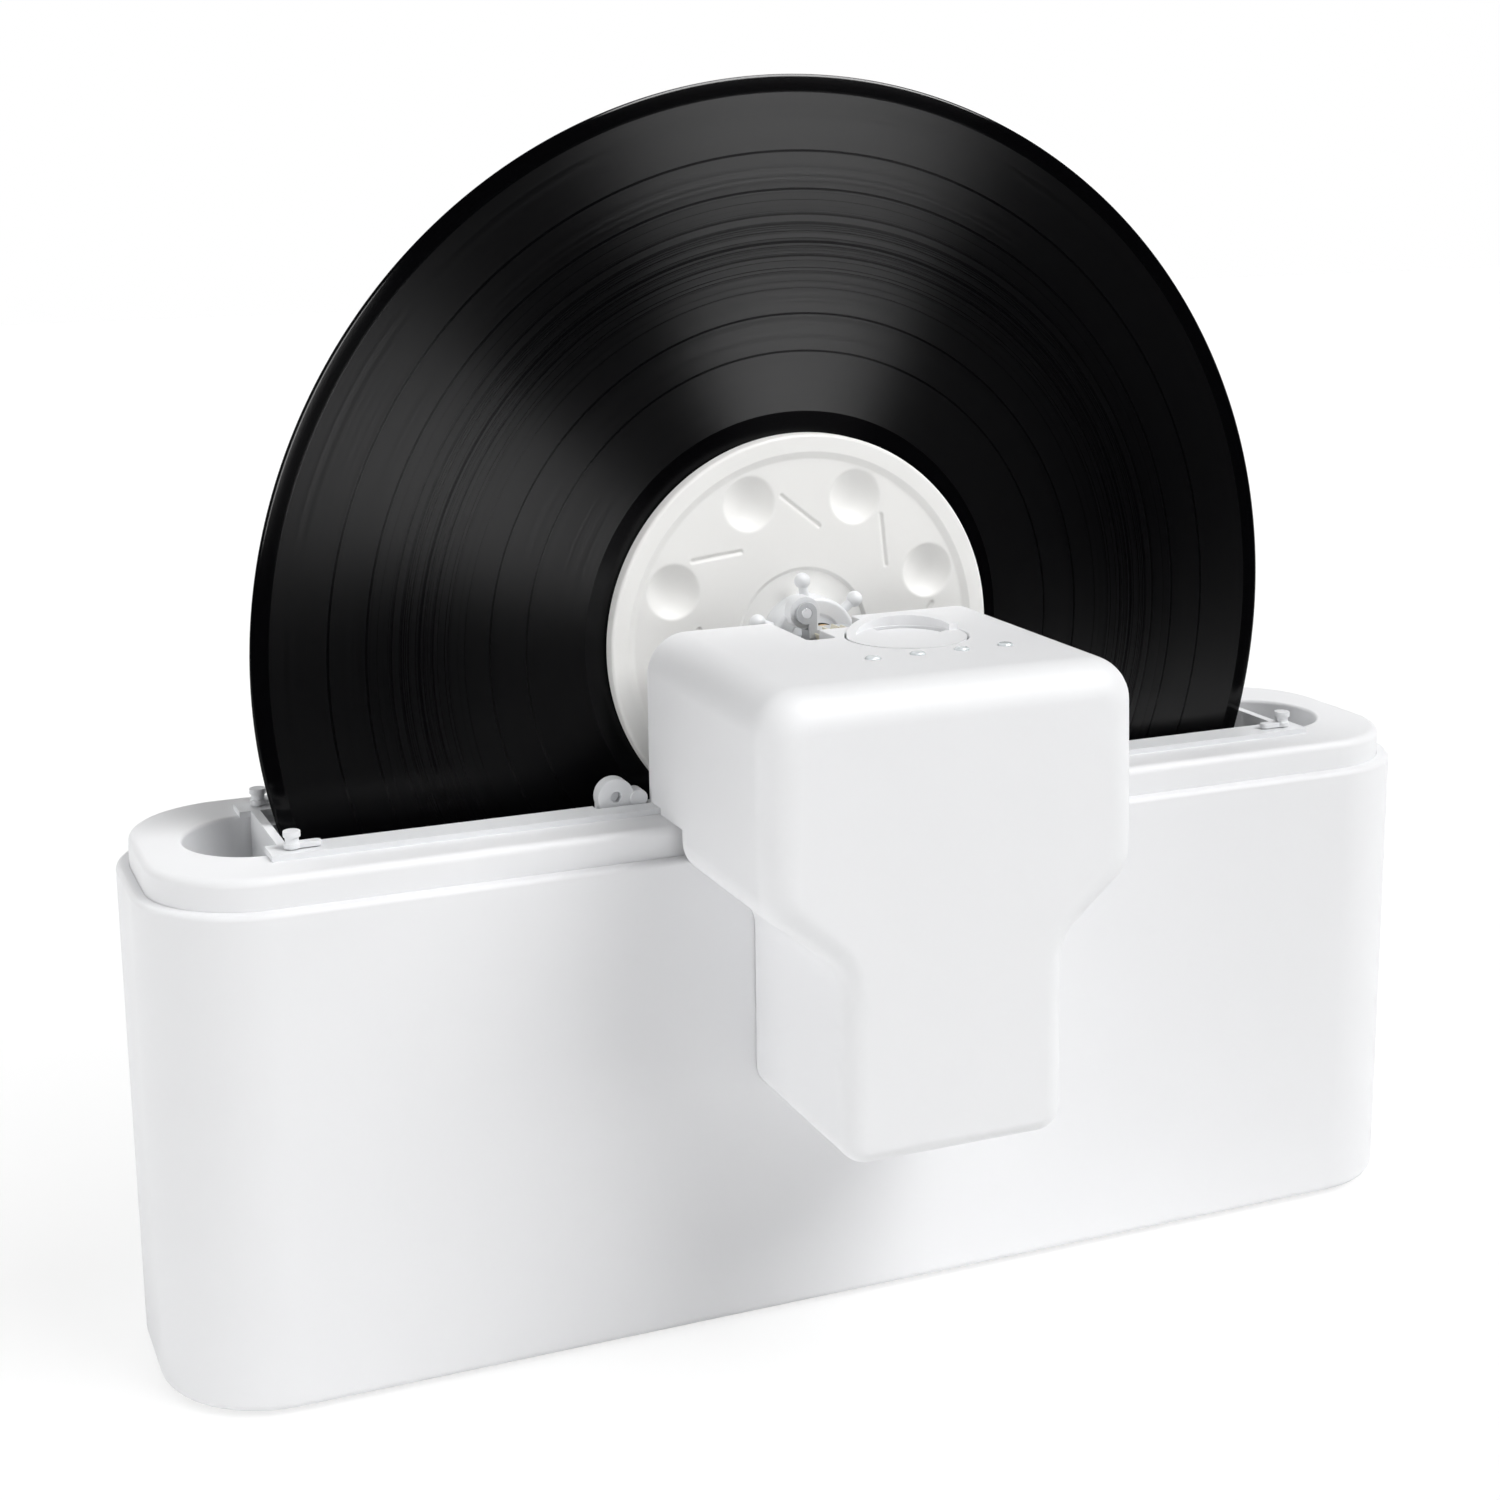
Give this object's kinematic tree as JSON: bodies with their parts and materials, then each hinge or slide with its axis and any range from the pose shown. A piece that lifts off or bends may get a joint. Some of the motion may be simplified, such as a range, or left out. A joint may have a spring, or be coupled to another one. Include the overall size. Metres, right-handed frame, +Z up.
{
  "type": "record cleaning machine",
  "caption": "Upright bath that washes a clamped disc record: a long tank with a brush frame, and a drive head on the rim that turns the record through the fluid.",
  "frame": {"origin": "centre of the underside of the base pad, midway along and across the casing", "axes": "+X along the casing to the right seen from the front, -Y to the front, +Z up"},
  "size_m": [0.3708, 0.1396, 0.3293],
  "materials": {
    "white_shell": "satin moulded plastic",
    "frame_plastic": "satin moulded plastic",
    "disc_plastic": "fine matt moulded plastic",
    "inner_plastic": "matt moulded plastic",
    "gear_plastic": "moulded acetal",
    "vinyl": "grooved gloss",
    "plush": "short plush pile",
    "rubber": "matt rubber",
    "steel": "turned steel",
    "motor_case": "plated sheet steel",
    "bronze": "turned bronze",
    "board": "solder mask",
    "dark_plastic": "matt plastic",
    "lamp_lens": "clear lens"
  },
  "bodies": {
    "tank": {"base_pad": "rubber", "outer_casing": "white_shell", "inner_basin": "white_shell"},
    "brush_frame": {"brush_frame": "frame_plastic", "front_pad_carrier": "frame_plastic", "rear_pad_carrier": "frame_plastic", "front_brush_pad": "plush", "rear_brush_pad": "plush", "left_latch_bracket": "frame_plastic", "right_latch_bracket": "frame_plastic"},
    "left_head_latch": {"left_head_latch": "frame_plastic"},
    "right_head_latch": {"right_head_latch": "frame_plastic"},
    "front_left_corner_latch": {"front_left_corner_latch": "frame_plastic"},
    "front_right_corner_latch": {"front_right_corner_latch": "frame_plastic"},
    "rear_left_corner_latch": {"rear_left_corner_latch": "frame_plastic"},
    "rear_right_corner_latch": {"rear_right_corner_latch": "frame_plastic"},
    "head": {"head_shell": "white_shell", "head_back_cover": "white_shell", "spindle_cradle": "inner_plastic", "motor_plate": "steel", "gearbox": "motor_case", "motor": "motor_case", "motor_screws": "steel", "control_board": "board", "dial_switch": "dark_plastic", "status_lamps": "lamp_lens", "power_inlet": "dark_plastic", "cover_screws": "steel", "cradle_screws": "steel", "head_dowels": "steel"},
    "drive_gear": {"drive_gear": "gear_plastic", "motor_shaft": "steel"},
    "dial": {"dial": "white_shell"},
    "bearing": {"bearing_block": "inner_plastic", "spindle_bush": "bronze", "lever_pin": "steel"},
    "cradle_lever": {"cradle_lever": "frame_plastic"},
    "spindle": {"spindle_shaft": "steel", "spindle_gear": "gear_plastic", "retaining_clip": "steel", "thrust_washer": "dark_plastic", "front_label_disc": "disc_plastic", "front_label_seal": "rubber", "star_nut": "frame_plastic", "record": "vinyl"},
    "back_seal": {"back_label_seal": "rubber"},
    "back_disc": {"back_label_disc": "disc_plastic", "thread_insert": "bronze"}
  },
  "joints": [
    {"name": "frame_lift", "type": "slide", "parent": "tank", "child": "brush_frame", "axis": [0, 0, 1], "range_m": [0, 0.12]},
    {"name": "head_lift", "type": "slide", "parent": "brush_frame", "child": "head", "axis": [0, 0, 1], "range_m": [0, 0.04]},
    {"name": "record_lift", "type": "slide", "parent": "head", "child": "bearing", "axis": [0, 0, 1], "range_m": [0, 0.125]},
    {"name": "spindle_spin", "type": "hinge", "parent": "bearing", "child": "spindle", "pos_m": [0, -0.02, 0.1785], "axis": [0, 1, 0], "continuous": true},
    {"name": "drive_gear_spin", "type": "hinge", "parent": "head", "child": "drive_gear", "pos_m": [0, -0.0265, 0.1593], "axis": [0, 1, 0], "continuous": true},
    {"name": "back_seal_slide", "type": "slide", "parent": "spindle", "child": "back_seal", "axis": [0, 1, 0], "range_m": [0, 0.00225]},
    {"name": "back_disc_turn", "type": "hinge", "parent": "back_seal", "child": "back_disc", "pos_m": [0, 0.008, 0.1785], "axis": [0, 1, 0], "range_deg": [0, 180]},
    {"name": "dial_turn", "type": "hinge", "parent": "head", "child": "dial", "pos_m": [0.0105, -0.0475, 0.184], "axis": [0, 0, -1], "range_deg": [0, 270]},
    {"name": "cradle_lever_turn", "type": "hinge", "parent": "bearing", "child": "cradle_lever", "pos_m": [-0.007, -0.0205, 0.1889], "axis": [0, -1, 0], "range_deg": [0, 100]},
    {"name": "left_head_latch_turn", "type": "hinge", "parent": "brush_frame", "child": "left_head_latch", "pos_m": [-0.06, -0.0163, 0.1433], "axis": [0, -1, 0], "range_deg": [0, 110]},
    {"name": "right_head_latch_turn", "type": "hinge", "parent": "brush_frame", "child": "right_head_latch", "pos_m": [0.06, -0.0163, 0.1433], "axis": [0, 1, 0], "range_deg": [0, 110]},
    {"name": "front_left_corner_latch_turn", "type": "hinge", "parent": "brush_frame", "child": "front_left_corner_latch", "pos_m": [-0.1465, -0.0216, 0.1432], "axis": [0, 0, -1], "range_deg": [0, 90]},
    {"name": "front_right_corner_latch_turn", "type": "hinge", "parent": "brush_frame", "child": "front_right_corner_latch", "pos_m": [0.1465, -0.0216, 0.1432], "axis": [0, 0, 1], "range_deg": [0, 90]},
    {"name": "rear_left_corner_latch_turn", "type": "hinge", "parent": "brush_frame", "child": "rear_left_corner_latch", "pos_m": [-0.1465, 0.0216, 0.1432], "axis": [0, 0, 1], "range_deg": [0, 90]},
    {"name": "rear_right_corner_latch_turn", "type": "hinge", "parent": "brush_frame", "child": "rear_right_corner_latch", "pos_m": [0.1465, 0.0216, 0.1432], "axis": [0, 0, -1], "range_deg": [0, 90]}
  ],
  "couplings": [
    {"joint": "drive_gear_spin", "follows": "spindle_spin", "ratio": -0.5},
    {"joint": "back_seal_slide", "follows": "back_disc_turn", "m_per_rad": 0.0007162}
  ]
}
